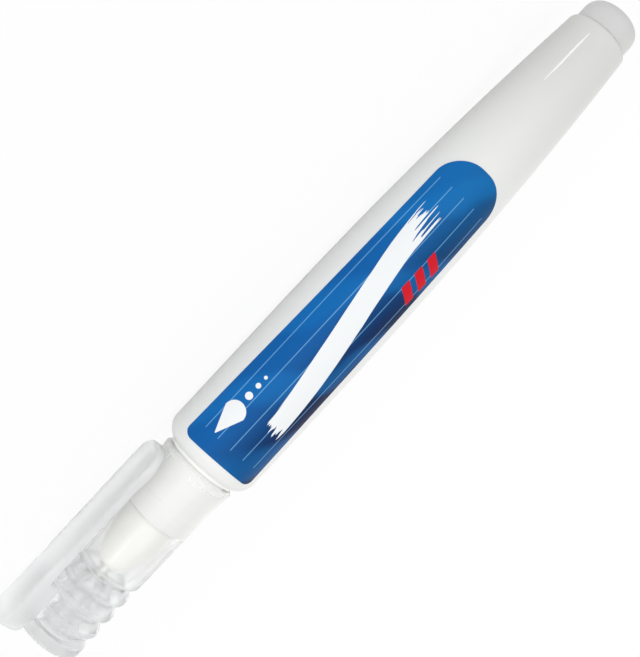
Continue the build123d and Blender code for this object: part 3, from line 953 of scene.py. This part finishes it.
# %% Valve spring: its wire
WIRE_SIDES, STEPS_PER_TURN = 12, 40
steps = round(all_turns * STEPS_PER_TURN)
bm = bmesh.new()
rings = []
for i in range(steps + 1):
    turns = all_turns * i / steps
    closed = min(turns, 1) + max(turns - 1 - open_turns, 0)
    x = first_x + closed * closed_pitch + (turns - closed) * OPEN_PITCH
    outward = Vector((0, cos(2 * pi * turns), sin(2 * pi * turns)))
    middle = Vector((x, 0, 0)) + outward * COIL_RADIUS
    ring = []
    for k in range(WIRE_SIDES):
        angle = 2 * pi * k / WIRE_SIDES
        point = middle + outward * WIRE_RADIUS * cos(angle) + Vector((WIRE_RADIUS * sin(angle), 0, 0))
        ring.append(bm.verts.new(point * MM))
    rings.append(ring)
for one, two in zip(rings, rings[1:]):
    for k in range(WIRE_SIDES):
        j = (k + 1) % WIRE_SIDES
        bm.faces.new((one[k], one[j], two[j], two[k]))
bm.faces.new(rings[0])
bm.faces.new(rings[-1])
print("rings along the wire:", len(rings))

# %% [markdown]
# When the needle is pressed the spring gets shorter, so it is squashed towards its retainer by the
# needle's own travel. Here the spring gets its finish and a mesh of its own.

# %% Valve spring: its finish
spring_wire = new_metal(
    "spring_wire", (0.5, 0.5, 0.51), (0.62, 0.62, 0.63), rough=0.28, pitch=0.3, depth=0.003
)
spring = place_mesh("valve_spring_wound", bm, "pen_body", "spring_steel", [spring_wire])
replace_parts(spring, "valve_spring")
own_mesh(spring)

# %% [markdown]
# The label is a printed film. Its print is drawn by masks in millimetres, measured from the label's
# front edge and from its middle line, so it could be printed flat. One group makes a bar with round
# ends that may grow wider along its run; fine lines, dots and a drop are all bars.

# %% Group: a printed bar
INK_EDGE = 0.04
group, given, out = new_group(
    "print_bar",
    [
        ("Along", 0.0),
        ("Across", 0.0),
        ("Start", 0.0),
        ("End", 1.0),
        ("Middle", 0.0),
        ("Half", 1.0),
        ("Taper", 0.0),
    ],
    [("Mask", "Float")],
)
print_bar = group
away = calc(group, "SUBTRACT", given["Across"], given["Middle"])
inside = calc(group, "MINIMUM", calc(group, "MAXIMUM", given["Along"], given["Start"]), given["End"])
past = calc(group, "SUBTRACT", given["Along"], inside)
run = calc(group, "SUBTRACT", inside, given["Start"])
half = calc(group, "MULTIPLY_ADD", run, given["Taper"], given["Half"])
square = calc(group, "MULTIPLY_ADD", past, past, calc(group, "MULTIPLY", away, away))
edge = calc(group, "SUBTRACT", half, calc(group, "SQRT", square))
wire(group, ramp(group, edge, -INK_EDGE, INK_EDGE), out["Mask"])

# %% [markdown]
# The film itself is smooth, with a low gloss. Along and across are its own flat coordinates. Inks
# are laid one over the other as a press does it: each ink has a mask and covers what is below.

# %% Label film and inks
LABEL_TURN = radians(64.626)
LABEL_SETBACK = 2.25
label_print, tree, film, at = new_finish("label_print", IOR=1.5, Specular_IOR_Level=0.12)
along = calc(tree, "SUBTRACT", BARREL_FRONT - LABEL_SETBACK, at["Along"])
across = calc(tree, "MULTIPLY", calc(tree, "SUBTRACT", at["Turn"], LABEL_TURN), GRIP_RADIUS)
grain = use(tree, moulded_skin, Place=at["Place"], Grain_Size=0.1, Drift_Size=6.0)
wire(tree, calc(tree, "MULTIPLY_ADD", grain["Drift"], 0.06, 0.3), film["Roughness"])
bump(tree, grain["Grain"], film["Normal"], strength=0.08, depth=0.01)
WHITE_INK, RED_INK, LINE_INK = (0.84, 0.86, 0.87), (0.62, 0.008, 0.02), (0.25, 0.55, 0.85)
NIGHT_BLUE, DEEP_BLUE = (0.001, 0.009, 0.055), (0.002, 0.105, 0.36)
BEAM_BLUE, REAR_BLUE = (0.004, 0.17, 0.5), (0.006, 0.21, 0.54)


def flat_vector(x, y):
    """A vector of two flat coordinates."""
    node = tree.nodes.new("ShaderNodeCombineXYZ")
    wire(tree, x, node.inputs["X"])
    wire(tree, y, node.inputs["Y"])
    return node.outputs[0]


def over(ground, mask, ink, strength=1.0):
    """Print an ink over the ground."""
    return tint(tree, calc(tree, "MULTIPLY", mask, strength), ground, ink)


def bar(start, end, middle, half, taper=0.0):
    """The mask of one bar on the label."""
    numbers = {"Start": start, "End": end, "Middle": middle, "Half": half, "Taper": taper}
    return use(tree, print_bar, Along=along, Across=across, **numbers)["Mask"]


print("label starts at x =", BARREL_FRONT - LABEL_SETBACK, "mm")

# %% [markdown]
# The ground of the print is blue, darker along one edge, with soft lighter beams across it and fine
# ruled lines, like those of a notebook, from end to end.

# %% Printed ground
ground = tint(tree, ramp(tree, across, -6.5, 4.0), NIGHT_BLUE, DEEP_BLUE)
beam = calc(tree, "MULTIPLY_ADD", across, 0.55, calc(tree, "MULTIPLY", along, 0.33))
bend = noise(tree, flat_vector(along, across), size=14.0, detail=1.0)
beam = calc(tree, "SINE", calc(tree, "MULTIPLY_ADD", bend, 5.0, beam))
ground = over(ground, ramp(tree, beam, -0.2, 1.0), BEAM_BLUE, 0.45)
ground = over(ground, ramp(tree, along, 30.0, 60.0), REAR_BLUE, 0.3)
RULED_LINES = (-5.0, -2.5, 0.0, 2.5, 5.0)
for middle in RULED_LINES:
    ground = over(ground, bar(3.0, 53.0, middle, 0.07), LINE_INK, 0.5)
print("ruled lines:", len(RULED_LINES))

# %% [markdown]
# Over the lines runs one broad white stroke, like one of correction fluid. It is a band about a
# bending middle line, and its edges are frayed by noise pulled out along it, as a dry brush leaves
# them. The fray is small at the sides and long at both ends.

# %% Printed brush stroke
STROKE_HALF, STROKE_START, STROKE_END = 1.75, 9.0, 46.0
STROKE_LOW, STROKE_CLIMB = -3.1, 5.4
SIDE_FRAY, START_FRAY, END_FRAY = 0.9, 8.0, 22.0
BRISTLE_LENGTH, BRISTLE_WIDTH, END_SLOPE = 26.0, 0.55, 0.4
climb = ramp(tree, along, 6.0, 50.0)
centre = calc(tree, "MULTIPLY_ADD", climb, STROKE_CLIMB, STROKE_LOW)
away = calc(tree, "SUBTRACT", across, centre)
bristles = flat_vector(calc(tree, "DIVIDE", along, BRISTLE_LENGTH), away)
fray = calc(tree, "SUBTRACT", noise(tree, bristles, BRISTLE_WIDTH, detail=2.0), 0.5)
side = calc(tree, "SUBTRACT", STROKE_HALF, calc(tree, "ABSOLUTE", away))
side = calc(tree, "MULTIPLY_ADD", fray, SIDE_FRAY, side)
begin = calc(tree, "MULTIPLY_ADD", fray, START_FRAY, calc(tree, "SUBTRACT", along, STROKE_START))
finish = calc(tree, "MULTIPLY_ADD", fray, END_FRAY, calc(tree, "SUBTRACT", STROKE_END, along))
ends = calc(tree, "MULTIPLY", calc(tree, "MINIMUM", begin, finish), END_SLOPE)
stroke = ramp(tree, calc(tree, "MINIMUM", side, ends), -0.04, 0.06)
ground = over(ground, stroke, WHITE_INK)
print("stroke from", STROKE_START, "to", STROKE_END, "mm")

# %% [markdown]
# A few small marks finish the print: three leaning red slabs near one edge, and a white drop with a
# trail of three dots near the front. A slab is the overlap of two bands, one of them leaning.


# %% Printed slabs, drop and dots
def slab(place, half_length, middle, half, slant):
    """The mask of a leaning slab with square ends."""
    away = calc(tree, "SUBTRACT", across, middle)
    slid = calc(tree, "SUBTRACT", along, calc(tree, "MULTIPLY_ADD", away, slant, place))
    ends = calc(tree, "SUBTRACT", half_length, calc(tree, "ABSOLUTE", slid))
    sides = calc(tree, "SUBTRACT", half, calc(tree, "ABSOLUTE", away))
    return ramp(tree, calc(tree, "MINIMUM", ends, sides), -INK_EDGE, INK_EDGE)


DROP_LINE = 3.4
for place in (37.4, 40.2, 43.0):
    ground = over(ground, slab(place, half_length=0.85, middle=-3.9, half=1.5, slant=0.45), RED_INK)
ground = over(ground, bar(3.4, 7.4, DROP_LINE, 0.1, taper=0.42), WHITE_INK)
for place, size in ((10.6, 0.6), (12.6, 0.42), (14.2, 0.28)):
    ground = over(ground, bar(place, place + 0.01, DROP_LINE, size), WHITE_INK)
wire(tree, ground, film["Base Color"])
dress(label_print, "label")
